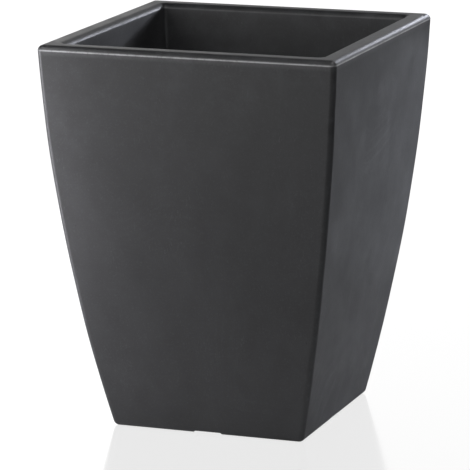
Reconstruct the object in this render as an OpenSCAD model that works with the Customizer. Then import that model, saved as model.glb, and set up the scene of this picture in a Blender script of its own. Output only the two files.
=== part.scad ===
// Square tapered planter: one hollow double-skinned moulding with a rolled rim, four drain outlets
// closed by lift-out plugs with O-rings, and a snap-in cap over the moulding vent underneath.
// Millimetres, +Z up, origin at the centre of the underside.

/* [Overall] */
// Width of the square rim, outside
rim_w = 400; // [340:10:520]
// Width of the square base, outside
base_w = 261; // [216:1:330]
// Height from the ground to the rim
height = 510; // [400:10:640]
// How far each side bows outwards at mid height
wall_bow = 11.4; // [0:0.2:20]

/* [Walls] */
// Width of the rim, which is also the gap from outside to inside
rim_t = 28; // [27:1:40]
// Thickness of each moulded skin
skin_t = 4.5; // [3:0.5:6]
// Radius of the upright outside corners
corner_r = 7; // [5:1:20]
// Radius of the upright corners inside
inside_corner_r = 4; // [3:1:20]
// Radius along both edges of the rim
rim_edge_r = 8; // [5:0.5:9.5]
// Radius along the bottom edge
base_edge_r = 5.5; // [4:0.5:9.5]

/* [Floor and drainage] */
// Height of the inside floor
floor_z = 36; // [32:1:60]
// Radius where the inside floor meets the walls
floor_edge_r = 8; // [4:1:9]
// Width of the crossed channels in the underside
channel_w = 38; // [30:1:50]
// Depth of the crossed channels
channel_h = 3; // [2.5:0.5:5]
// Bore radius of each drain outlet
outlet_r = 11; // [8:0.5:13]
// Distance of each outlet from the centre
outlet_spread = 58; // [46:1:64]

/* [Drain plugs] */
// How far the plug's head reaches past the outlet
head_lip = 6; // [4:0.5:8]
// Thickness of the plug's head
head_t = 4; // [3:0.5:5]
// Length of the shank below the head
shank_l = 20; // [16:1:22]
// Radius of the grip
grip_r = 8; // [6:0.5:10]
// Height of the grip above the head
grip_h = 14; // [10:1:20]
// Thickness of the O-ring's cord
ring_d = 2.6; // [2:0.1:3.2]

/* [Vent] */
// Radius of the moulding vent
vent_r = 4; // [3:0.5:6]
// How far the cap reaches past the vent
vent_lip = 3.5; // [2:0.5:5]
// Thickness of the cap's head
vent_head_t = 1.4; // [1:0.1:1.8]

/* [Hidden] */

sides = ["front", "right", "back", "left"];
resin = "dimgray";
rubber = "black";
plug_resin = "slategray";

corner_steps = 5;
edge_steps = 5;
wall_steps = 12;
past = 1;             // how far a cut runs past the face it opens
least_r = 2.5;        // smallest upright corner of a ring
least_edge = 0.5;     // smallest round along an edge of the air space
slide_gap = 0.4;      // radial play of a plug's shank in its outlet
seal_gap = 0.05;      // radial play of the O-ring, in its groove and in the outlet
head_gap = 1;         // play of a plug's head in its recess
seat_gap = 0.02;      // a plug's head over its seat

seat_z = floor_z - head_t;
head_r = outlet_r + head_lip;
recess_r = head_r + head_gap;
shank_r = outlet_r - slide_gap;
ring_r = outlet_r - seal_gap - ring_d / 2;     // from the plug's axis to the middle of the O-ring's cord
ring_z = seat_z - shank_l / 2;
vent_floor = channel_h + skin_t;               // top of the skin that the vent goes through

// Half the outside width at height z, which bows out between the base and the rim
function half_out(z) =
    let (u = z / height)
    base_w / 2 + (rim_w - base_w) / 2 * u + 4 * wall_bow * u * (1 - u);

// Half the inside width at height z
function half_in(z) = half_out(z) - rim_t;

// One level outline: a square with rounded corners
function square_ring(half, r, z) =
    [for (q = [0:3], i = [0:corner_steps])
        let (a = 90 * (q + i / corner_steps), cr = max(r, least_r), c = half - cr)
        [(q == 0 || q == 3 ? c : -c) + cr * cos(a), (q < 2 ? c : -c) + cr * sin(a), z]];

// Outlines of the whole outside, from the ground up, all moved inwards by inset
function outside_rings(inset) =
    let (low = inset, high = height - inset, br = max(base_edge_r - inset, least_edge),
         tr = max(rim_edge_r - inset, least_edge), cr = corner_r - inset)
    [
        for (i = [0:edge_steps])
            let (a = 90 * i / edge_steps, z = low + br * (1 - cos(a)), cut = br * (1 - sin(a)))
            square_ring(half_out(z) - inset - cut, cr - cut, z),
        for (i = [1:wall_steps - 1])
            let (z = low + br + (high - tr - low - br) * i / wall_steps)
            square_ring(half_out(z) - inset, cr, z),
        for (i = [0:edge_steps])
            let (a = 90 * i / edge_steps, z = high - tr * (1 - sin(a)), cut = tr * (1 - cos(a)))
            square_ring(half_out(z) - inset - cut, cr - cut, z)
    ];

// Outlines of the planting space, from its floor up, all moved outwards by growth and run past the rim
function space_rings(growth) =
    let (low = floor_z - growth, high = height - growth, br = floor_edge_r + growth,
         tr = max(rim_edge_r - growth, least_edge), cr = inside_corner_r + growth)
    [
        for (i = [0:edge_steps])
            let (a = 90 * i / edge_steps, z = low + br * (1 - cos(a)), cut = br * (1 - sin(a)))
            square_ring(half_in(z) + growth - cut, cr - cut, z),
        for (i = [1:wall_steps - 1])
            let (z = low + br + (high - tr - low - br) * i / wall_steps)
            square_ring(half_in(z) + growth, cr, z),
        for (i = [0:edge_steps])
            let (a = 90 * i / edge_steps, z = high - tr * (1 - sin(a)), flare = tr * (1 - cos(a)))
            square_ring(half_in(z) + growth + flare, cr + flare, z),
        square_ring(half_in(high) + growth + tr, cr + tr, high + past)
    ];

// A closed solid through level outlines, lowest first
module loft(rings) {
    n = len(rings[0]);
    levels = len(rings);
    polyhedron(
        points = [for (ring = rings, p = ring) p],
        faces = [
            [for (i = [0:n - 1]) i],
            for (k = [0:levels - 2], i = [0:n - 1])
                [k * n + i, (k + 1) * n + i, (k + 1) * n + (i + 1) % n, k * n + (i + 1) % n],
            [for (i = [n - 1:-1:0]) (levels - 1) * n + i]
        ]
    );
}

// Places a child at each drain outlet, from the front round to the left
module at_outlet(k) {
    rotate([0, 0, 90 * k]) translate([0, -outlet_spread, 0]) children();
}

// The crossed channels that let drained water out under the base, grown by the skin's thickness inside it
module channels(growth) {
    for (turn = [0, 90])
        rotate([0, 0, turn])
            translate([-rim_w, -channel_w / 2 - growth, -past])
                cube([2 * rim_w, channel_w + 2 * growth, past + channel_h + growth]);
}

// What a drain outlet takes out of the floor: the bore and the recess for the plug's head, grown by the skin
module outlet_form(growth) {
    translate([0, 0, -past]) cylinder(r = outlet_r + growth, h = floor_z + 2 * past, $fn = 64);
    translate([0, 0, seat_z - growth]) cylinder(r = recess_r + growth, h = floor_z, $fn = 64);
}

// The air space between the two skins, which stops short of the channels and the outlets
module hollow() {
    difference() {
        loft(outside_rings(skin_t));
        loft(space_rings(skin_t));
        channels(skin_t);
        for (k = [0:3]) at_outlet(k) outlet_form(skin_t);
    }
}

module planter_shell() {
    color(resin) difference() {
        loft(outside_rings(0));
        loft(space_rings(0));
        hollow();
        channels(0);
        for (k = [0:3]) at_outlet(k) outlet_form(0);
        translate([0, 0, channel_h - past]) cylinder(r = vent_r, h = skin_t + 2 * past, $fn = 48);
    }
}

// A push-in stopper turned about its own axis: chamfered shank, O-ring groove, head and mushroom grip
module drain_plug() {
    lead = 1.5;      // chamfer at the foot of the shank
    head_edge = 1;   // chamfer around the head
    waist = 2;       // how far the neck draws in under the crown
    crown_h = 6;     // height of the crown over the neck
    crown_r = 2;     // round on the crown's edge
    crown_steps = 4;
    groove_r = ring_r - ring_d / 2 - seal_gap;
    groove_h = ring_d / 2 + 2 * seal_gap;
    head_z = seat_z + seat_gap;
    neck_z = head_z + head_t;
    crown_z = neck_z + grip_h;
    color(plug_resin) rotate_extrude($fn = 64) polygon([
        [0, seat_z - shank_l],
        [shank_r - lead, seat_z - shank_l],
        [shank_r, seat_z - shank_l + lead],
        [shank_r, ring_z - groove_h],
        [groove_r, ring_z - groove_h],
        [groove_r, ring_z + groove_h],
        [shank_r, ring_z + groove_h],
        [shank_r, head_z],
        [head_r, head_z],
        [head_r, neck_z - head_edge],
        [head_r - head_edge, neck_z],
        [grip_r - waist, neck_z],
        [grip_r - waist, crown_z - crown_h],
        [grip_r, crown_z - crown_h + waist],
        for (i = [0:crown_steps])
            let (a = 90 * i / crown_steps)
            [grip_r - crown_r * (1 - cos(a)), crown_z - crown_r * (1 - sin(a))],
        [0, crown_z]
    ]);
}

module o_ring() {
    color(rubber) translate([0, 0, ring_z])
        rotate_extrude($fn = 64) translate([ring_r, 0]) circle(d = ring_d, $fn = 32);
}

// The cap's head hangs under the channels' roof, and its stem snaps through the skin
module vent_cap() {
    stem_gap = 0.15;  // radial play of the stem in the vent
    barb = 0.4;       // how far the barb reaches past the vent
    barb_t = 0.6;     // thickness of the barb's edge
    point = 1;        // how far the stem's end draws in
    tip_h = 3;        // height of the end over the skin
    stem_r = vent_r - stem_gap;
    head_r = vent_r + vent_lip;
    head_z = channel_h - seat_gap;
    barb_z = vent_floor + seat_gap;
    color(plug_resin) rotate_extrude($fn = 64) polygon([
        [0, head_z - vent_head_t],
        [head_r - vent_head_t / 2, head_z - vent_head_t],
        [head_r, head_z - vent_head_t / 2],
        [head_r, head_z],
        [stem_r, head_z],
        [stem_r, barb_z],
        [vent_r + barb, barb_z],
        [vent_r + barb, barb_z + barb_t],
        [stem_r - point, barb_z + tip_h],
        [0, barb_z + tip_h]
    ]);
}

planter_shell();
for (k = [0:3]) {
    at_outlet(k) drain_plug();
    at_outlet(k) o_ring();
}
vent_cap();
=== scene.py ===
import math
import bmesh
import bpy
import numpy as np
from mathutils import Matrix, Vector


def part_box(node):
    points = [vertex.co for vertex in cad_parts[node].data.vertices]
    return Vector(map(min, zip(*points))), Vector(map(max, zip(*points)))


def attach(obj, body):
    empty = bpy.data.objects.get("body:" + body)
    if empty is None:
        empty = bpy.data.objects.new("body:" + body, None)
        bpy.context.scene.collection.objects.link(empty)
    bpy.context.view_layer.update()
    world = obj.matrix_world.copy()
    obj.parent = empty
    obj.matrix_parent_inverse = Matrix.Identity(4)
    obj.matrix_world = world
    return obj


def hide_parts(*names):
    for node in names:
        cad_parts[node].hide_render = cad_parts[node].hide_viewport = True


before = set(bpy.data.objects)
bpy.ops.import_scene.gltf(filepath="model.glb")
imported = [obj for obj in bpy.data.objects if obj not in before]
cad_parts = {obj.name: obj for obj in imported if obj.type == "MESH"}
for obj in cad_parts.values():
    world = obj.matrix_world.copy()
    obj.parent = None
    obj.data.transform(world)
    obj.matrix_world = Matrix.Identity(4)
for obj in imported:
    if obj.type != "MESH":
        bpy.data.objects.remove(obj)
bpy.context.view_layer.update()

sideNames = ["front", "right", "back", "left"]
weldDistance = 0.000002


# Puts points (n, 3) and lists of faces into a new object, and welds the points that lie together
def makePiece(name, points, faces, attributes=None):
    mesh = bpy.data.meshes.new(name)
    mesh.from_pydata(points.tolist(), [], faces)
    for label, values in (attributes or {}).items():
        layer = mesh.attributes.new(label, "FLOAT", "POINT")
        layer.data.foreach_set("value", values.astype(np.float32))
    welded = bmesh.new()
    welded.from_mesh(mesh)
    bmesh.ops.remove_doubles(welded, verts=welded.verts, dist=weldDistance)
    welded.to_mesh(mesh)
    welded.free()
    mesh.polygons.foreach_set("use_smooth", np.ones(len(mesh.polygons), bool))
    mesh.update()
    piece = bpy.data.objects.new(name, mesh)
    bpy.context.scene.collection.objects.link(piece)
    return piece


# Four-sided faces of a grid whose points are numbered row by row, which face up when rows run along Y and
# columns along X
def gridFaces(rows, columns, closed=False):
    row = np.arange(rows - 1)[:, None]
    column = np.arange(columns if closed else columns - 1)[None, :]
    after = (column + 1) % columns
    here, above = row * columns, (row + 1) * columns
    corners = [here + column, here + after, above + after, above + column]
    return np.stack([c.ravel() for c in corners], 1)


# A smooth step: 0 below low, 1 above high, and an S-shaped cubic between them
def smoothStep(low, high, value):
    t = np.clip((value - low) / (high - low), 0, 1)
    return t * t * (3 - 2 * t)


# The shell: one hollow moulding, as the outside, the rim, the planting space, the underside and the
# outlets
shell = {
    "baseHalf": 0.1305,             # half the width of the base
    "bow": 0.0114,                  # how far a side bows outwards at mid height
    "rimWidth": 0.028,
    "cornerRadius": 0.007,
    "insideCornerRadius": 0.004,
    "sharpest": 0.0025,             # the least corner radius of a row
    "rimEdge": 0.008,               # radius along both edges of the rim
    "baseEdge": 0.0055,             # radius along the bottom edge
    "floorHeight": 0.036,
    "floorEdge": 0.008,
    "channelWidth": 0.038,
    "channelDepth": 0.003,
    "channelEase": 0.001,           # half the width of the slope along a channel
    "outletSpread": 0.058,
    "outletRadius": 0.011,
    "recessRadius": 0.018,
    "recessDepth": 0.004,
    "holeEdge": 0.0006,             # rounding at the mouths of the holes
    "outletBlock": 0.016,           # half the width of the cells around an outlet, on the underside
    "recessBlock": 0.024,           # the same on the floor
    "ventBlock": 0.008,             # and around the vent
    "ventRadius": 0.004,
    "ventTop": 0.012,
    "trimDrop": 0.0066,             # the parting line's distance below the top, outside
    "trimHalf": 0.0006,             # half its width
    "trimHeight": 0.00025,          # how far it stands proud
    "trimHighlightSpread": 0.0009,           # half the width of the painted highlight along it
    "innerTrimDrop": 0.0061,
    "innerTrimHeight": 0.00008,
    "trimReach": 0.115,             # the close rows lie within this angle of the line, in radians
    "innerTrimReach": 0.12,
    "trimHighlightFade": 0.75,               # how much of the painted highlight is lost at an upright corner, where it would mirror dark
    "trimSteps": (14, 9),           # rows across the line's close stretch, and above it
    "innerTrimSteps": (12, 9),
    "wave": 0.00022,                # slow unevenness of the moulded walls
    "waveStart": (0.012, 0.06),     # heights between which the waves rise from nothing to their full size
    "waveEnd": (0.06, 0.015),       # distances below the top between which they fade again
    "cornerPush": 12,               # how late the lines across a filled square bend to meet its corners
}
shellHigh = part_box("planter_shell")[1]
height = shellHigh.z

# Columns of points from the middle of a side to its corner, in metres: the fixed lines run past the
# channels and the outlets, and the rest spread evenly up to the corner
cornerSteps = 8
fixedOutside = np.concatenate([
    np.linspace(0, 0.016, 9),
    np.linspace(0.018, 0.020, 6),
    np.linspace(0.0255, 0.042, 4),
    np.linspace(0.042, 0.074, 13)[1:],
])
fixedInside = np.concatenate([
    np.linspace(0, 0.024, 9),
    np.linspace(0.024, 0.034, 4)[1:],
    np.linspace(0.034, 0.082, 13)[1:],
])
halfColumns = 50
supportGap = 0.0008                 # the last column of a flat lies this near its corner's round


# Lateral and outward distance of each column, from the middle of a side to its corner: the flat part
# keeps the fixed lines and shares out the rest, and the round part goes by sine and cosine up to 45
# degrees
def halfSide(fixed, half, radius):
    flatEnd = (half - radius)[:, None]
    spread = halfColumns - cornerSteps - len(fixed)
    last = fixed[-1]
    lateral = last + (flatEnd - supportGap - last) * np.linspace(0, 1, spread)[None, 1:]
    lateral = np.hstack([np.tile(fixed, (len(half), 1)), lateral, flatEnd])
    outward = np.tile(half[:, None], (1, lateral.shape[1]))
    turn = np.linspace(0, math.pi / 4, cornerSteps + 1)[1:][None, :]
    lateral = np.hstack([lateral, flatEnd + radius[:, None] * np.sin(turn)])
    outward = np.hstack([outward, flatEnd + radius[:, None] * np.cos(turn)])
    return lateral, outward


# Points of whole rows, counter-clockwise from the front's left corner: a half side, mirrored, and turned
# four times. A row that crosses the rim mixes the outside's columns with the inside's
def squareRows(half, radius, mix, z):
    lateralOut, outwardOut = halfSide(fixedOutside, half, radius)
    lateralIn, outwardIn = halfSide(fixedInside, half, radius)
    mix = mix[:, None]
    lateral = lateralOut * (1 - mix) + lateralIn * mix
    outward = outwardOut * (1 - mix) + outwardIn * mix
    lateral = np.hstack([-lateral[:, ::-1], lateral[:, 1:-1]])
    outward = np.hstack([outward[:, ::-1], outward[:, 1:-1]])
    x = np.hstack([lateral, outward, -lateral, -outward])
    y = np.hstack([-outward, lateral, outward, -lateral])
    return np.stack([x, y, np.tile(z[:, None], (1, x.shape[1]))], 2)


# Half the outside width at a height: a straight taper and a parabola that bows it outwards
def outsideHalf(z):
    u = z / height
    return shell["baseHalf"] + (rimHalf - shell["baseHalf"]) * u + 4 * shell["bow"] * u * (1 - u)


# Half the width that the outside would have at the very top, so that the widest row, where the rim's
# round begins, keeps the parting line just inside the frame's own box
rimLevel = 1 - shell["rimEdge"] / height
bowAtRim = 4 * shell["bow"] * rimLevel * (1 - rimLevel)
widest = shellHigh.x - shell["trimHeight"]
rimHalf = shell["baseHalf"] + (widest - shell["baseHalf"] - bowAtRim) / rimLevel


# Angles from 0 to 90 degrees in steps, with close steps around one angle so that a fine line has enough
# rows
def turnAround(centre, reach, closeSteps, wideSteps):
    low = np.linspace(0, centre - reach, 3)[:-1]
    close = np.linspace(centre - reach, centre + reach, closeSteps + 1)
    high = np.linspace(centre + reach, math.pi / 2, wideSteps + 1)[1:]
    return np.concatenate([low, close, high])


# Runs from 0 to 1 with shorter steps at both ends, by mixing an even run with a cosine
def easedRun(steps):
    t = np.linspace(0, 1, steps + 1)
    return 0.55 * t + 0.45 * (0.5 - 0.5 * np.cos(math.pi * t))


# The moulding's profile from the edge of the underside, up the outside, over the rim and down to the edge
# of the floor. Rounds follow a quarter circle: the height goes by one minus the sine and the inset by one
# minus the cosine
def shellProfile():
    s = shell
    # a row: height, half width, corner radius, mix, distance from a parting line, its height, edge wear
    rows = []

    def addRows(z, half, radius, mix, away=1.0, proud=0.0, worn=0.0):
        columns = [z, half, np.maximum(radius, s["sharpest"]), mix, away, proud, worn]
        rows.append(np.stack([np.broadcast_to(c, z.shape) for c in columns], 1))

    channelTurn = math.acos(1 - s["channelDepth"] / s["baseEdge"])
    turn = np.unique(np.append(np.linspace(0, math.pi / 2, 9), channelTurn))
    z = s["baseEdge"] * (1 - np.cos(turn))
    cut = s["baseEdge"] * (1 - np.sin(turn))
    addRows(z, outsideHalf(z) - cut, s["cornerRadius"] - cut, 0, worn=np.sin(2 * turn))

    crease = height - s["rimEdge"]
    z = s["baseEdge"] + (crease - s["baseEdge"]) * easedRun(48)[1:-1]
    addRows(z, outsideHalf(z), np.full(len(z), s["cornerRadius"]), 0)

    # the rim: a round, a flat top and a round
    trimTurn = math.asin(1 - s["trimDrop"] / s["rimEdge"])
    turn = turnAround(trimTurn, s["trimReach"], *s["trimSteps"])
    z = crease + s["rimEdge"] * np.sin(turn)
    cut = s["rimEdge"] * (1 - np.cos(turn))
    addRows(z, outsideHalf(z) - cut, s["cornerRadius"] - cut, 0,
            s["rimEdge"] * (turn - trimTurn), s["trimHeight"], np.sin(2 * turn))

    outerEdge = rimHalf - s["rimEdge"]
    innerEdge = rimHalf - s["rimWidth"] + s["rimEdge"]
    outerCorner = max(s["cornerRadius"] - s["rimEdge"], s["sharpest"])
    innerCorner = s["insideCornerRadius"] + s["rimEdge"]
    across = np.linspace(0, 1, 10)[1:-1]
    addRows(np.full(len(across), height), outerEdge + (innerEdge - outerEdge) * across,
            outerCorner + (innerCorner - outerCorner) * across, across)

    trimTurn = math.asin(1 - s["innerTrimDrop"] / s["rimEdge"])
    turn = turnAround(trimTurn, s["innerTrimReach"], *s["innerTrimSteps"])[::-1]
    z = crease + s["rimEdge"] * np.sin(turn)
    flare = s["rimEdge"] * (1 - np.cos(turn))
    addRows(z, outsideHalf(z) - s["rimWidth"] + flare, s["insideCornerRadius"] + flare, 1,
            s["rimEdge"] * (turn - trimTurn), s["innerTrimHeight"], np.sin(2 * turn))

    low = s["floorHeight"] + s["floorEdge"]
    z = low + (crease - low) * easedRun(40)[1:-1][::-1]
    addRows(z, outsideHalf(z) - s["rimWidth"], np.full(len(z), s["insideCornerRadius"]), 1)

    turn = np.linspace(0, math.pi / 2, 8)[::-1]
    z = s["floorHeight"] + s["floorEdge"] * (1 - np.cos(turn))
    cut = s["floorEdge"] * (1 - np.sin(turn))
    addRows(z, outsideHalf(z) - s["rimWidth"] - cut, s["insideCornerRadius"] - cut, 1)
    return np.vstack(rows)


# Height of the underside at a place: a smooth step up into each of the two crossed channels
def channelHeight(x, y):
    edge = shell["channelWidth"] / 2
    ease = shell["channelEase"]
    alongY = 1 - smoothStep(edge - ease, edge + ease, np.abs(x))
    alongX = 1 - smoothStep(edge - ease, edge + ease, np.abs(y))
    return shell["channelDepth"] * (1 - (1 - alongY) * (1 - alongX))


# Unit normals of a closed band of rows: the cross product of the steps along its columns and its rows
def bandNormals(points):
    across = np.roll(points, -1, 1) - np.roll(points, 1, 1)
    along = np.gradient(points, axis=0)
    normal = np.cross(across, along)
    return normal / np.maximum(np.linalg.norm(normal, axis=2, keepdims=True), 1e-12)


# The walls and the rim: the square rows, moved along their normals by the parting lines (a bell curve
# across, uneven along by a sum of two sines) and by slow waves in the moulded skins (sums and products of
# sines of the height and the place), which fade towards the base, the rim and the floor. Wear goes by the
# sine of twice the angle round an edge, and rises towards an upright corner
def shellBand():
    z, half, radius, mix, away, proud, worn = shellProfile().T
    points = squareRows(half, radius, mix, z)
    normals = bandNormals(points)
    x, y, level = points[..., 0], points[..., 1], points[..., 2]
    bell = np.exp(-(away / shell["trimHalf"]) ** 2)[:, None] * (proud > 0)[:, None]
    uneven = 0.82 + 0.1 * np.sin(x * 157 + y * 83) + 0.08 * np.sin(x * 411 - y * 367 + 1.3)
    fadeLow, fadeHigh = (height - distance for distance in shell["waveEnd"])
    calm = smoothStep(*shell["waveStart"], level) * (1 - smoothStep(fadeLow, fadeHigh, level))
    wave = (np.sin(level * 23 + x * 9 + 0.7) * np.cos(y * 14 - x * 11 + 0.4)
            + 0.5 * np.sin(level * 51 - y * 27 + x * 31 + 2.1))
    move = bell * proud[:, None] * uneven + calm * shell["wave"] * wave
    points = points + normals * move[..., None]
    points[..., 2] = np.maximum(points[..., 2], np.where(mix[:, None] < 0.5, channelHeight(x, y), 0))
    corner = np.minimum(np.abs(x), np.abs(y)) / np.maximum(np.abs(x), np.abs(y))
    cornerStart = 1 - 1.2 * shell["cornerRadius"] / shell["baseHalf"]
    corner = smoothStep(cornerStart, 1, corner) * (mix < 0.5)[:, None]
    wear = 1 - (1 - np.clip(worn, 0, 1)[:, None]) * (1 - corner)
    # the painted highlight along the parting lines: a bell across each line, much weaker on the less proud
    # inside line, and faded at an upright corner
    cut = np.exp(-(away / shell["trimHighlightSpread"]) ** 2) * np.minimum(proud / shell["trimHeight"], 1) ** 2
    cut = cut[:, None] * (1 - shell["trimHighlightFade"] * corner)
    return points, {"trimHighlightMask": cut * uneven, "wear": wear}


# Fills a square row with a grid: straight lines across, pushed outwards near the edge to meet the rounded
# corners
def fillSquare(half, radius, fixed, levelOf):
    lateral, outward = (v[0] for v in halfSide(fixed, np.array([half]), np.array([radius])))
    lateral = np.concatenate([-lateral[::-1], lateral[1:]])
    outward = np.concatenate([outward[::-1], outward[1:]])
    corner = lateral[-1]
    push = np.sign(lateral) * np.abs(lateral / corner) ** shell["cornerPush"]
    x = lateral[None, :] + push[None, :] * (outward[:, None] - corner)
    y = lateral[:, None] + push[:, None] * (outward[None, :] - corner)
    return np.stack([x, y, levelOf(x, y)], 2)


# Index of the grid line at a distance from the middle
def lineAt(fixed, distance):
    place = int(np.argmin(np.abs(fixed - abs(distance))))
    return halfColumns + (place if distance >= 0 else -place)


# Where a hole's block of cells lies in a filled square: first and last column and row
def holeBlock(fixed, centre, reach):
    return [lineAt(fixed, centre[0] - reach), lineAt(fixed, centre[0] + reach),
            lineAt(fixed, centre[1] - reach), lineAt(fixed, centre[1] + reach)]


# The points around a block, counter-clockwise from its first corner
def blockLoop(grid, block):
    i0, i1, j0, j1 = block
    return np.concatenate([grid[j0, i0:i1], grid[j0:j1, i1], grid[j1, i1:i0:-1], grid[j1:j0:-1, i0]])


# Rings from a block's edge to a round hole and along the hole's profile of (radius, height), each point
# at the angle that it has on the block's edge
def holeRings(loop, centre, profile, easing=4):
    offset = loop[:, :2] - np.array(centre)
    angle = np.arctan2(offset[:, 1], offset[:, 0])
    direction = np.stack([np.cos(angle), np.sin(angle)], 1)

    def ringAt(radius, z):
        return np.hstack([np.array(centre) + radius * direction, np.full((len(loop), 1), z)])

    first = ringAt(*profile[0])
    rings = [loop + (first - loop) * t for t in np.linspace(0, 1, easing + 1)[:-1]]
    return np.stack(rings + [ringAt(radius, z) for radius, z in profile])


# A quarter round between two straight stretches of a profile: points from start to end about a centre
def quarter(centre, radius, start, end, steps=3):
    turn = np.radians(np.linspace(start, end, steps + 1))
    return [(centre[0] + radius * math.cos(t), centre[1] + radius * math.sin(t)) for t in turn]


def buildShell():
    s = shell
    points, faces, marks = [], [], {"trimHighlightMask": [], "wear": []}

    def addPart(part, quads, values=None):
        first = sum(len(p) for p in points)
        points.append(part.reshape(-1, 3))
        faces.extend((quads + first).tolist())
        for label, found in marks.items():
            found.append(values[label].ravel() if values else np.zeros(len(points[-1])))

    band, values = shellBand()
    addPart(band, gridFaces(band.shape[0], band.shape[1], closed=True), values)

    profile = shellProfile()
    under = fillSquare(profile[0, 1], profile[0, 2], fixedOutside, channelHeight)
    floor = fillSquare(profile[-1, 1], profile[-1, 2], fixedInside,
                       lambda x, y: np.full(x.shape, s["floorHeight"]))

    spread, edge = s["outletSpread"], s["holeEdge"]
    centres = [(0, -spread), (spread, 0), (0, spread), (-spread, 0)]
    underBlocks = [holeBlock(fixedOutside, c, s["outletBlock"]) for c in centres]
    floorBlocks = [holeBlock(fixedInside, c, s["recessBlock"]) for c in centres]
    ventBlock = holeBlock(fixedOutside, (0, 0), s["ventBlock"])

    for grid, blocks, facesUp in ((under, underBlocks + [ventBlock], False), (floor, floorBlocks, True)):
        count = grid.shape[0]
        quads = gridFaces(count, count)
        row, column = np.divmod(np.arange(len(quads)), count - 1)
        kept = np.ones(len(quads), bool)
        for i0, i1, j0, j1 in blocks:
            kept &= ~((column >= i0) & (column < i1) & (row >= j0) & (row < j1))
        quads = quads[kept]
        addPart(grid, quads if facesUp else quads[:, ::-1])

    # the outlet's profile from the floor down: recess, seat, bore and mouth, with a small round at each
    # edge
    top, seat, roof = s["floorHeight"], s["floorHeight"] - s["recessDepth"], s["channelDepth"]
    recess, bore = s["recessRadius"], s["outletRadius"]
    outlet = (quarter((recess + edge, top - edge), edge, 90, 180)
              + quarter((recess - edge, seat + edge), edge, 0, -90)
              + quarter((bore + edge, seat - edge), edge, 90, 180)
              + [(bore, z) for z in np.linspace(seat - 2 * edge, roof + 2 * edge, 7)]
              + quarter((bore + edge, roof + edge), edge, 180, 270))
    for centre, underBlock, floorBlock in zip(centres, underBlocks, floorBlocks):
        down = holeRings(blockLoop(floor, floorBlock), centre, outlet)
        up = holeRings(blockLoop(under, underBlock), centre, outlet[-1:])
        rings = np.concatenate([down, up[::-1][1:]])
        addPart(rings, gridFaces(rings.shape[0], rings.shape[1], closed=True))

    vent = s["ventRadius"]
    profile = quarter((vent + edge, roof + edge), edge, 270, 180)
    profile += [(vent, z) for z in np.linspace(roof + 2 * edge, s["ventTop"], 4)]
    profile += [(vent * t, s["ventTop"]) for t in (0.75, 0.5, 0.25, 0)]
    rings = holeRings(blockLoop(under, ventBlock), (0, 0), profile, 2)
    addPart(rings, gridFaces(rings.shape[0], rings.shape[1], closed=True)[:, ::-1])
    return makePiece("plantershell", np.concatenate(points), faces,
                     {label: np.concatenate(found) for label, found in marks.items()})


# A profile of (radius, height) corners with a rounding at each, worked out as short curves through the
# cut corners
def roundedProfile(corners, steps=4):
    path = []
    for k, (radius, z, rounding) in enumerate(corners):
        here = np.array([radius, z])
        if rounding == 0 or k in (0, len(corners) - 1):
            path.append(here)
            continue
        before = np.array(corners[k - 1][:2]) - here
        after = np.array(corners[k + 1][:2]) - here
        reach = min(rounding, 0.45 * np.linalg.norm(before), 0.45 * np.linalg.norm(after))
        start = here + before / np.linalg.norm(before) * reach
        end = here + after / np.linalg.norm(after) * reach
        for t in np.linspace(0, 1, steps + 1):
            path.append(start * (1 - t) ** 2 + here * 2 * t * (1 - t) + end * t * t)
    return np.array(path)


# Adds points so that no stretch of a profile is longer than a step
def refine(path, step):
    fine = [path[0]]
    for a, b in zip(path[:-1], path[1:]):
        pieces = max(1, math.ceil(np.linalg.norm(b - a) / step))
        fine += [a + (b - a) * t for t in np.linspace(0, 1, pieces + 1)[1:]]
    return np.array(fine)


# A surface turned about an upright axis: radius times cosine and sine of the angle, with the radius
# changed by a function of the height and the angle
def turned(name, centre, path, columns=96, shapeRadius=None):
    angle = np.linspace(0, 2 * math.pi, columns, endpoint=False)[None, :]
    radius = np.tile(path[:, :1], (1, columns))
    z = np.tile(path[:, 1:], (1, columns))
    if shapeRadius is not None:
        radius = shapeRadius(radius, z, angle)
    points = np.stack([centre[0] + radius * np.cos(angle), centre[1] + radius * np.sin(angle), z], 2)
    return makePiece(name, points.reshape(-1, 3), gridFaces(len(path), columns, closed=True).tolist())


plug = {
    "shankRadius": 0.0106,
    "headRadius": 0.017,
    "headThickness": 0.004,
    "gripRadius": 0.008,
    "gripHeight": 0.014,
    "waist": 0.002,                 # how far the neck draws in under the crown
    "crownHeight": 0.006,
    "tipChamfer": 0.0015,
    "grooveDepth": 0.0026,
    "grooveHalf": 0.0014,
    "flutes": 8,
    "fluteDepth": 0.0007,
    "fluteEase": 0.001,
    "gateRadius": 0.0012,           # the small dimple left by the moulding gate
    "gateDepth": 0.0004,
    "longestStep": 0.0008,
}


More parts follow.
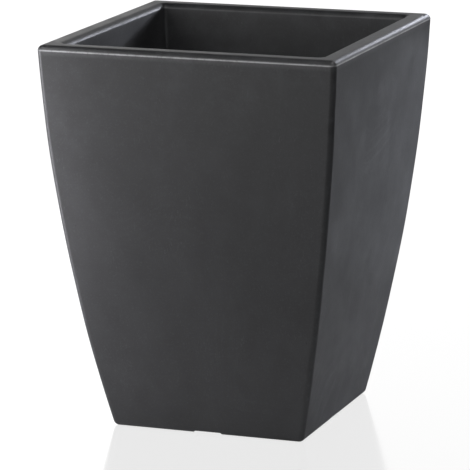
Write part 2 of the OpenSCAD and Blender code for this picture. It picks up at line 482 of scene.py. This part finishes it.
def buildPlug(side):
    p = plug
    low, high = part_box("drain_plug_" + side)
    ringLow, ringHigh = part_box("o_ring_" + side)
    centre = ((low.x + high.x) / 2, (low.y + high.y) / 2)
    groove = (ringLow.z + ringHigh.z) / 2
    crown = high.z
    neck = crown - p["gripHeight"]
    head = neck - p["headThickness"]
    grooveRadius = p["shankRadius"] - p["grooveDepth"]
    shank, grip, gate = p["shankRadius"], p["gripRadius"], p["gateRadius"]
    crownLow = crown - p["crownHeight"]
    corners = [
        (0, low.z, 0),
        (shank - p["tipChamfer"], low.z, 0.0004),
        (shank, low.z + p["tipChamfer"], 0.0004),
        (shank, groove - p["grooveHalf"], 0.0002),
        (grooveRadius, groove - p["grooveHalf"], 0.0003),
        (grooveRadius, groove + p["grooveHalf"], 0.0003),
        (shank, groove + p["grooveHalf"], 0.0002),
        (shank, head, 0.0004),
        (p["headRadius"], head, 0.0004),
        (p["headRadius"], neck, 0.0012),
        (grip - p["waist"], neck, 0.0009),
        (grip - p["waist"], crownLow, 0.0009),
        (grip, crownLow + p["waist"], 0.0012),
        (grip, crown, 0.002),
        (gate, crown, 0.0002),
        (gate, crown - p["gateDepth"], 0.0002),
        (0, crown - p["gateDepth"], 0),
    ]
    path = refine(roundedProfile(corners), p["longestStep"])

    # flutes cut into the crown: a raised cosine around it, strongest at its widest
    def flute(radius, z, angle):
        wide = smoothStep(crownLow - p["fluteEase"], crownLow + p["waist"], z)
        outer = smoothStep(0.45 * grip, 0.9 * grip, radius)
        dip = (0.5 - 0.5 * np.cos(p["flutes"] * angle)) ** 2
        return radius - p["fluteDepth"] * wide * outer * dip

    piece = turned("drainplug_" + side, centre, path, shapeRadius=flute)
    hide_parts("drain_plug_" + side)
    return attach(piece, "plug_" + side)


ring = {"cord": 0.0026, "flash": 0.00004, "flashSpread": 0.12}


# An O-ring: a circle of the cord's radius carried around the plug, with a hair of moulding flash at its
# inner and outer line
def buildRing(side):
    low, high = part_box("o_ring_" + side)
    centre = ((low.x + high.x) / 2, (low.y + high.y) / 2)
    cord = ring["cord"] / 2 - ring["flash"]
    middle = (high.x - low.x) / 2 - ring["cord"] / 2
    around = np.linspace(0, 2 * math.pi, 37)
    flash = ring["flash"] * np.exp(-(np.sin(around) / ring["flashSpread"]) ** 2)
    level = (low.z + high.z) / 2
    path = np.stack([middle + (cord + flash) * np.cos(around), level + cord * np.sin(around)], 1)
    piece = turned("oring_" + side, centre, path)
    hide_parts("o_ring_" + side)
    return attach(piece, "plug_" + side)


cap = {
    "stemRadius": 0.00385,
    "barbRadius": 0.0044,
    "barbThickness": 0.0006,
    "headThickness": 0.0014,
    "tipDraw": 0.001,
    "tipHeight": 0.003,
    "dishRadius": 0.005,
    "dishSlope": 0.001,
    "dishDepth": 0.0004,
    "longestStep": 0.0006,
}


def buildCap():
    c = cap
    low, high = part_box("vent_cap")
    head = low.z + c["headThickness"]
    barb = high.z - c["tipHeight"]
    corners = [
        (0, low.z + c["dishDepth"], 0),
        (c["dishRadius"] - c["dishSlope"], low.z + c["dishDepth"], 0.0006),
        (c["dishRadius"], low.z, 0.0006),
        (high.x, low.z, 0.0007),
        (high.x, head, 0.0003),
        (c["stemRadius"], head, 0.0003),
        (c["stemRadius"], barb, 0.0001),
        (c["barbRadius"], barb, 0.0001),
        (c["barbRadius"], barb + c["barbThickness"], 0.0003),
        (c["stemRadius"] - c["tipDraw"], high.z, 0.0005),
        (0, high.z, 0),
    ]
    piece = turned("ventcap", (0, 0), refine(roundedProfile(corners), c["longestStep"]), 72)
    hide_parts("vent_cap")
    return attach(piece, "planter")


# Each piece stands in for its node of the frame and rides on its body
shellPiece = buildShell()
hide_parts("planter_shell")
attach(shellPiece, "planter")
plugPieces = [buildPlug(side) for side in sideNames]
ringPieces = [buildRing(side) for side in sideNames]
capPiece = buildCap()
shown = [shellPiece, plugPieces[0], ringPieces[0], capPiece]
print("meshes:", {piece.name: len(piece.data.polygons) for piece in shown})


# Puts a node into a material's tree, with its inputs by name or, as in i6, by number: a value, or the
# output of another node to link
def addNode(material, kind, settings=None, **inputs):
    tree = material.node_tree
    node = tree.nodes.new(kind)
    for name, value in (settings or {}).items():
        setattr(node, name, value)
    for name, value in inputs.items():
        socket = node.inputs[int(name[1:])] if name[0] == "i" and name[1:].isdigit() else node.inputs[name]
        if isinstance(value, bpy.types.NodeSocket):
            tree.links.new(value, socket)
        else:
            socket.default_value = value
    return node


def newMaterial(name):
    material = bpy.data.materials.new(name)
    material.use_nodes = True
    return material, material.node_tree.nodes["Principled BSDF"]


def objectPlace(material):
    return addNode(material, "ShaderNodeTexCoord").outputs["Object"]


# A noise at a scale per metre, in an object's own space, which may be stretched along an axis
def noiseAt(material, scale, detail=3.0, roughness=0.55, stretch=None, place=None, distortion=0.0):
    if place is None:
        place = objectPlace(material)
    if stretch is not None:
        place = addNode(material, "ShaderNodeMapping", Vector=place, Scale=stretch).outputs["Vector"]
    return addNode(material, "ShaderNodeTexNoise", Vector=place, Scale=scale, Detail=detail,
                   Roughness=roughness, Distortion=distortion).outputs["Fac"]


# Maps the stretch of a value from one bound to the other onto another stretch, and holds it at both ends
def ranged(material, value, bounds, toLow=0.0, toHigh=1.0):
    node = addNode(material, "ShaderNodeMapRange", Value=value)
    for name, number in zip(("From Min", "From Max", "To Min", "To Max"), (*bounds, toLow, toHigh)):
        node.inputs[name].default_value = number
    return node.outputs["Result"]


def combined(material, operation, *values):
    numbered = {"i" + str(k): value for k, value in enumerate(values)}
    return addNode(material, "ShaderNodeMath", {"operation": operation}, **numbered).outputs[0]


# A colour that goes from one to another by a factor
def blended(material, factor, start, end):
    mix = addNode(material, "ShaderNodeMix", {"data_type": "RGBA"}, Factor=factor, i6=start, i7=end)
    return mix.outputs[2]


def addBump(material, shader, relief, strength, distance):
    bump = addNode(material, "ShaderNodeBump", Height=relief, Strength=strength, Distance=distance)
    material.node_tree.links.new(bump.outputs["Normal"], shader.inputs["Normal"])


# Hair scratches: a noise drawn out far along one axis, kept where it crosses its middle value, and only
# in the patches of a slower noise
def hairScratches(material, stretch, turn, width, patches, patchRange):
    place = objectPlace(material)
    drawn = addNode(material, "ShaderNodeMapping", Vector=place, Rotation=turn, Scale=stretch)
    line = noiseAt(material, 1.0, 2.0, 0.4, place=drawn.outputs["Vector"], distortion=0.3)
    away = combined(material, "ABSOLUTE", combined(material, "SUBTRACT", line, 0.5))
    thin = ranged(material, away, (0.0, width), 1.0, 0.0)
    patch = ranged(material, noiseAt(material, patches, 2.0), patchRange)
    return combined(material, "MULTIPLY", thin, patch)


shellResin = {
    "dark": (0.0122, 0.0125, 0.0135, 1),
    "light": (0.0250, 0.0254, 0.0272, 1),
    "bloom": (0.060, 0.061, 0.066, 1),          # the pale haze where it has been handled and rubbed
    "scratch": (0.105, 0.106, 0.110, 1),
    "pit": (0.006, 0.006, 0.0065, 1),
    "trimHighlight": (0.48, 0.48, 0.49, 1),           # painted highlight on the parting line, which is cut back with a knife
    "roughness": (0.44, 0.56),
    "trimmedRoughness": 0.30,
    "cloudScale": 9.0,
    "patchScale": 34.0,
    "patchShare": 0.45,
    "toneRange": (0.34, 0.66),
    "fleckScale": 420.0,
    "fleckRange": (0.55, 0.80),
    "fleckMost": 0.35,
    "hazeStart": 0.58,                          # share of the height at which the haze begins
    "hazeRange": (0.24, 0.42),
    "hazeMost": 0.22,
    "wipeBend": 3.0,
    "wipeScale": 11.0,
    "wipeRange": (0.72, 0.98),
    "wipePatchScale": 7.0,
    "wipePatchRange": (0.48, 0.62),
    "wipeColour": 0.03,
    "wipeGloss": 0.02,
    "upright": {"stretch": (420.0, 420.0, 9.0), "turn": (0.0, 0.05, 0.0), "width": 0.006, "patches": 16.0},
    "slanted": {"stretch": (300.0, 300.0, 11.0), "turn": (0.5, 0.9, 0.3), "width": 0.004, "patches": 13.0},
    "scratchPatchRange": (0.54, 0.66),
    "scratchColour": 0.5,
    "scratchRoughness": 0.1,
    "scratchDepth": 0.5,
    "pitCells": 95.0,
    "pitChosen": (0.93, 0.94),                  # only cells with a random value above this have a pit
    "pitRange": (0.05, 0.10),
    "pitDepth": 1.5,
    "rubScale": 90.0,
    "rubRange": (0.5, 0.72),
    "rubMost": 0.35,
    "nickScale": 260.0,
    "nickRange": (0.3, 0.5),
    "nickLeast": 0.55,
    "grainScale": 620.0,
    "peelScale": 170.0,
    "peelShare": 1.6,
    "bumpStrength": 0.5,
    "bumpDistance": 0.00012,
}


# The shell's resin. Colour: clouds, flecks, haze in the top of the walls, hair scratches, pits, rubbed
# edges and a painted highlight along the knife-cut parting line. Roughness: clouds and the arcs of a wiping
# cloth. Bump: orange peel, grain, scratches and pits
def makeShellResin():
    r = shellResin
    material, shader = newMaterial("shellresin")
    place = objectPlace(material)
    clouds = noiseAt(material, r["cloudScale"], 5.0, 0.62)
    patches = noiseAt(material, r["patchScale"], 4.0, 0.6)
    grain = noiseAt(material, r["grainScale"], 4.0, 0.65)
    peel = noiseAt(material, r["peelScale"], 2.0, 0.5)

    cloudPart = combined(material, "MULTIPLY", clouds, 1 - r["patchShare"])
    tone = combined(material, "MULTIPLY_ADD", patches, r["patchShare"], cloudPart)
    colour = blended(material, ranged(material, tone, r["toneRange"]), r["dark"], r["light"])
    flecks = noiseAt(material, r["fleckScale"], 2.0, 0.7)
    flecks = ranged(material, flecks, r["fleckRange"], 0.0, r["fleckMost"])
    colour = blended(material, flecks, colour, r["bloom"])

    level = addNode(material, "ShaderNodeSeparateXYZ", Vector=place).outputs["Z"]
    near = ranged(material, level, (r["hazeStart"] * height, height))
    broken = ranged(material, combined(material, "MULTIPLY", patches, clouds), r["hazeRange"])
    haze = combined(material, "MULTIPLY", combined(material, "MULTIPLY", near, broken), r["hazeMost"])
    colour = blended(material, haze, colour, r["bloom"])

    # the arcs of a wiping cloth: rings of a wave, bent by a noise, in patches
    drift = addNode(material, "ShaderNodeTexNoise", Vector=place, Scale=r["wipeBend"], Detail=2.0)
    bent = addNode(material, "ShaderNodeVectorMath", {"operation": "ADD"},
                   i0=place, i1=drift.outputs["Color"])
    rings = addNode(material, "ShaderNodeTexWave", {"wave_type": "RINGS", "rings_direction": "Y"},
                    Vector=bent.outputs["Vector"], Scale=r["wipeScale"], Distortion=3.0, Detail=2.0)
    swept = ranged(material, noiseAt(material, r["wipePatchScale"], 2.0), r["wipePatchRange"])
    wiped = combined(material, "MULTIPLY", ranged(material, rings.outputs["Fac"], r["wipeRange"]), swept)
    colour = blended(material, combined(material, "MULTIPLY", wiped, r["wipeColour"]), colour, r["bloom"])

    upright = hairScratches(material, patchRange=r["scratchPatchRange"], **r["upright"])
    slanted = hairScratches(material, patchRange=r["scratchPatchRange"], **r["slanted"])
    scratches = combined(material, "MAXIMUM", upright, slanted)
    pale = combined(material, "MULTIPLY", scratches, r["scratchColour"])
    colour = blended(material, pale, colour, r["scratch"])

    cells = addNode(material, "ShaderNodeTexVoronoi", Vector=place, Scale=r["pitCells"])
    drawn = addNode(material, "ShaderNodeSeparateColor", Color=cells.outputs["Color"]).outputs["Red"]
    spot = ranged(material, cells.outputs["Distance"], r["pitRange"], 1.0, 0.0)
    pits = combined(material, "MULTIPLY", ranged(material, drawn, r["pitChosen"]), spot)
    colour = blended(material, pits, colour, r["pit"])

    wear = addNode(material, "ShaderNodeAttribute", {"attribute_name": "wear"}).outputs["Fac"]
    ragged = ranged(material, noiseAt(material, r["rubScale"], 5.0, 0.7), r["rubRange"], 0.0, r["rubMost"])
    colour = blended(material, combined(material, "MULTIPLY", wear, ragged), colour, r["bloom"])

    # the pale band along the parting line is a painted highlight, broken by a noise of nicks; the line is
    # also made glossier
    trimHighlightMask = addNode(material, "ShaderNodeAttribute", {"attribute_name": "trimHighlightMask"}).outputs["Fac"]
    nicks = noiseAt(material, r["nickScale"], 3.0, 0.7)
    ragged = ranged(material, nicks, r["nickRange"], r["nickLeast"], 1.0)
    nickedHighlight = combined(material, "MULTIPLY", trimHighlightMask, ragged)
    colour = blended(material, nickedHighlight, colour, r["trimHighlight"])
    material.node_tree.links.new(colour, shader.inputs["Base Color"])

    rough = ranged(material, tone, r["toneRange"], *r["roughness"])
    rough = combined(material, "SUBTRACT", rough, combined(material, "MULTIPLY", wiped, r["wipeGloss"]))
    rougher = combined(material, "MULTIPLY", scratches, r["scratchRoughness"])
    rough = combined(material, "ADD", rough, rougher)
    kept = combined(material, "SUBTRACT", 1.0, nickedHighlight)
    smooth = combined(material, "MULTIPLY", nickedHighlight, r["trimmedRoughness"])
    rough = combined(material, "MULTIPLY_ADD", rough, kept, smooth)
    material.node_tree.links.new(rough, shader.inputs["Roughness"])

    relief = combined(material, "MULTIPLY_ADD", peel, r["peelShare"], grain)
    scratched = combined(material, "MULTIPLY", scratches, r["scratchDepth"])
    relief = combined(material, "SUBTRACT", relief, scratched)
    relief = combined(material, "SUBTRACT", relief, combined(material, "MULTIPLY", pits, r["pitDepth"]))
    addBump(material, shader, relief, r["bumpStrength"], r["bumpDistance"])
    return material


plugResin = {
    "dark": (0.024, 0.025, 0.027, 1),
    "light": (0.036, 0.037, 0.040, 1),
    "rubbed": (0.085, 0.086, 0.090, 1),
    "soil": (0.060, 0.048, 0.036, 1),
    "roughness": (0.34, 0.48),
    "flowScale": 60.0,
    "flowStretch": (1.0, 1.0, 0.35),
    "flowRange": (0.35, 0.65),
    "rubScale": 240.0,
    "rubRange": (0.60, 0.74),
    "rubMost": 0.45,
    "soilScale": 420.0,
    "soilRange": (0.62, 0.72),
    "soilMost": 0.5,
    "soilRoughness": 0.35,
    "soilHeight": 0.8,
    "sparkScale": 2200.0,
    "bumpStrength": 0.35,
    "bumpDistance": 0.00006,
}


# Plugs and cap: an injection moulding with flow marks, a spark-eroded grain, rubbed patches and some dry
# soil
def makePlugResin():
    r = plugResin
    material, shader = newMaterial("plugresin")
    flow = noiseAt(material, r["flowScale"], 4.0, 0.6, stretch=r["flowStretch"], distortion=1.2)
    colour = blended(material, ranged(material, flow, r["flowRange"]), r["dark"], r["light"])
    rubbed = ranged(material, noiseAt(material, r["rubScale"], 5.0, 0.72), r["rubRange"], 0.0, r["rubMost"])
    colour = blended(material, rubbed, colour, r["rubbed"])
    soil = ranged(material, noiseAt(material, r["soilScale"], 6.0, 0.7), r["soilRange"], 0.0, r["soilMost"])
    colour = blended(material, soil, colour, r["soil"])
    material.node_tree.links.new(colour, shader.inputs["Base Color"])
    rough = ranged(material, flow, r["flowRange"], *r["roughness"])
    rough = combined(material, "ADD", rough, combined(material, "MULTIPLY", soil, r["soilRoughness"]))
    material.node_tree.links.new(rough, shader.inputs["Roughness"])
    sparked = noiseAt(material, r["sparkScale"], 3.0, 0.6)
    relief = combined(material, "MULTIPLY_ADD", soil, r["soilHeight"], sparked)
    addBump(material, shader, relief, r["bumpStrength"], r["bumpDistance"])
    return material


sealRubber = {
    "black": (0.0085, 0.0085, 0.009, 1),
    "bloom": (0.045, 0.044, 0.043, 1),
    "roughness": (0.50, 0.72),
    "bloomScale": 320.0,
    "bloomRange": (0.5, 0.75),
    "bloomMost": 0.5,
    "dustScale": 2600.0,
    "dustRange": (0.6, 0.75),
    "dustMost": 0.6,
    "grainScale": 3000.0,
    "bumpStrength": 0.3,
    "bumpDistance": 0.00004,
}


# O-rings: black rubber with a pale bloom in patches, and dust in the grain
def makeSealRubber():
    r = sealRubber
    material, shader = newMaterial("sealrubber")
    bloom = ranged(material, noiseAt(material, r["bloomScale"], 5.0, 0.7), r["bloomRange"])
    dust = ranged(material, noiseAt(material, r["dustScale"], 2.0, 0.6), r["dustRange"], 0.0, r["dustMost"])
    pale = combined(material, "MAXIMUM", combined(material, "MULTIPLY", bloom, r["bloomMost"]), dust)
    colour = blended(material, pale, r["black"], r["bloom"])
    material.node_tree.links.new(colour, shader.inputs["Base Color"])
    rough = ranged(material, bloom, (0.0, 1.0), *r["roughness"])
    material.node_tree.links.new(rough, shader.inputs["Roughness"])
    grain = noiseAt(material, r["grainScale"], 3.0, 0.6)
    addBump(material, shader, grain, r["bumpStrength"], r["bumpDistance"])
    return material


shellPiece.data.materials.append(makeShellResin())
plugMaterial = makePlugResin()
sealMaterial = makeSealRubber()
for piece in plugPieces + [capPiece]:
    piece.data.materials.append(plugMaterial)
for piece in ringPieces:
    piece.data.materials.append(sealMaterial)
print("materials:", [material.name for material in bpy.data.materials if material.users])

# The camera: where it stands, which way it looks, and its lens on a 36 mm sensor
view = {
    "place": (1.5193, -4.0825, 1.2156),
    "yaw": 0.35795,
    "pitch": 0.2212,
    "roll": -0.0083,
    "lens": 260.45,
    "sensor": 36.0,
    "farthest": 60.0,
}

# The studio. It has two floors: a glowing white one that only the camera sees, and a pale one just below
# it that only sends light to the planter
studio = {
    "floorHalf": 12.0,
    "seenColour": (0, 0, 0, 1),
    "seenGlow": 0.80,
    "seenRoughness": 0.12,
    "seenDrop": 0.0001,
    "litDrop": 0.0003,
    "litColour": (0.86, 0.86, 0.86, 1),
    "litRoughness": 0.16,
    "roomColour": (1.0, 1.0, 1.0, 1),
    "roomDim": 0.03,
    "roomSeen": 1.5,
    "backdropHalf": 9.0,
    "backdropTop": 6.0,
    "backdropAway": 8.0,
    "backdropGlow": 0.75,
}
coolWhite = (0.86, 0.89, 1.0)
lamps = {
    "keyhigh": {"place": (1.0, 2.6, 1.25), "target": (0, 0, 0.45),
                "size": (0.15, 0.15), "power": 6.5, "colour": coolWhite},
    "keyinside": {"place": (0.22, 0.95, 0.68), "target": (-0.17, 0, 0.47),
                  "size": (0.06, 0.06), "power": 2.5, "colour": coolWhite},
    "backleft": {"place": (-1.0, 1.4, 0.6), "target": (0, 0, 0.4),
                 "size": (0.8, 1.0), "power": 1.8},
    "frontfar": {"place": (-1.0, -3.8, 0.9), "target": (0, 0, 0.3),
                 "size": (2.0, 1.6), "power": 24.0},
    "leftfront": {"place": (-0.9, -1.4, 0.5), "target": (-0.1, -0.2, 0.3),
                  "size": (0.5, 1.0), "power": 3.2},
    "leftedge": {"place": (-0.34, -0.27, 0.3), "target": (-0.17, -0.19, 0.3),
                 "size": (0.1, 0.5), "power": 1.5, "colour": (0.96, 0.95, 1.0)},
    "nearcorner": {"place": (-0.3, -0.35, 0.68), "target": (-0.18, -0.19, 0.51),
                   "size": (0.1, 0.1), "power": 0.3},
    "rightedge": {"place": (0.3, 0.42, 0.24), "target": (0.18, 0.15, 0.22),
                  "size": (0.06, 0.4), "power": 0.14, "colour": coolWhite},
    "overfront": {"place": (0.4, -1.0, 1.8), "target": (0, 0, 0.3),
                  "size": (1.0, 0.6), "power": 6.5},
    "overinside": {"place": (0.5, -0.3, 1.1), "target": (-0.17, 0.1, 0.45),
                   "size": (0.2, 0.2), "power": 2.4},
}


# A level square, which is part of the studio and not of the planter
def buildFloor(name, z, colour, roughness, glow):
    reach = studio["floorHalf"]
    corners = np.array([[-reach, -reach, z], [reach, -reach, z], [reach, reach, z], [-reach, reach, z]])
    floor = makePiece(name, corners, [[0, 1, 2, 3]])
    material, shader = newMaterial(name)
    shader.inputs["Base Color"].default_value = colour
    shader.inputs["Roughness"].default_value = roughness
    shader.inputs["Emission Color"].default_value = (1, 1, 1, 1)
    shader.inputs["Emission Strength"].default_value = glow
    floor.data.materials.append(material)
    return floor


# An upright glowing sheet far behind, which only shows in what the floor and the rim mirror
def buildBackdrop():
    half, top, away = studio["backdropHalf"], studio["backdropTop"], studio["backdropAway"]
    heading = Vector((-math.sin(view["yaw"]), math.cos(view["yaw"]), 0))
    side = Vector((heading.y, -heading.x, 0))
    places = ((-half, 0), (half, 0), (half, top), (-half, top))
    corners = [heading * away + side * x + Vector((0, 0, z)) for x, z in places]
    sheet = makePiece("backdrop", np.array(corners), [[0, 1, 2, 3]])
    material, shader = newMaterial("backdrop")
    shader.inputs["Base Color"].default_value = (0, 0, 0, 1)
    shader.inputs["Emission Color"].default_value = (1, 1, 1, 1)
    shader.inputs["Emission Strength"].default_value = studio["backdropGlow"]
    sheet.data.materials.append(material)
    sheet.visible_camera = sheet.visible_diffuse = sheet.visible_shadow = False


# A soft area light that looks at a point
def softLight(name, place, target, size, power, colour=(1, 1, 1)):
    data = bpy.data.lights.new(name, "AREA")
    data.shape = "RECTANGLE"
    data.size, data.size_y = size
    data.energy = power
    data.color = colour
    lamp = bpy.data.objects.new(name, data)
    lamp.location = place
    lamp.rotation_euler = (Vector(target) - Vector(place)).to_track_quat("-Z", "Y").to_euler()
    lamp.visible_camera = False
    bpy.context.scene.collection.objects.link(lamp)
    return lamp


seenFloor = buildFloor("seenfloor", -studio["seenDrop"], studio["seenColour"], studio["seenRoughness"],
                       studio["seenGlow"])
seenFloor.visible_diffuse = seenFloor.visible_glossy = False
seenFloor.visible_transmission = seenFloor.visible_shadow = False
litFloor = buildFloor("litfloor", -studio["litDrop"], studio["litColour"], studio["litRoughness"], 0)
litFloor.visible_camera = False
buildBackdrop()


# The room: white where the camera looks, and dim in what it sends to the planter
def buildRoom():
    world = bpy.data.worlds.new("studio")
    bpy.context.scene.world = world
    world.use_nodes = True
    tree = world.node_tree
    background = tree.nodes["Background"]
    background.inputs["Color"].default_value = studio["roomColour"]
    path = tree.nodes.new("ShaderNodeLightPath")
    strength = tree.nodes.new("ShaderNodeMapRange")
    strength.inputs["To Min"].default_value = studio["roomDim"]
    strength.inputs["To Max"].default_value = studio["roomSeen"]
    tree.links.new(path.outputs["Is Camera Ray"], strength.inputs["Value"])
    tree.links.new(strength.outputs["Result"], background.inputs["Strength"])


buildRoom()
for name, settings in lamps.items():
    softLight(name, **settings)
bpy.context.scene.view_settings.view_transform = "Standard"


# The camera: it looks along the sines and cosines of its yaw and pitch, its right is level, its up is their
# cross product, and both are turned by the roll
def buildCamera():
    v = view
    level = math.cos(v["pitch"])
    forward = Vector((-math.sin(v["yaw"]) * level, math.cos(v["yaw"]) * level, -math.sin(v["pitch"])))
    right = Vector((math.cos(v["yaw"]), math.sin(v["yaw"]), 0))
    up = right.cross(forward)
    rightRolled = right * math.cos(v["roll"]) + up * math.sin(v["roll"])
    upRolled = up * math.cos(v["roll"]) - right * math.sin(v["roll"])
    data = bpy.data.cameras.new("camera")
    data.sensor_width = v["sensor"]
    data.lens = v["lens"]
    data.clip_end = v["farthest"]
    camera = bpy.data.objects.new("camera", data)
    turn = Matrix((rightRolled, upRolled, -forward)).transposed()
    camera.matrix_world = Matrix.Translation(v["place"]) @ turn.to_4x4()
    bpy.context.scene.collection.objects.link(camera)
    bpy.context.scene.camera = camera


buildCamera()
print("studio and camera are in place")
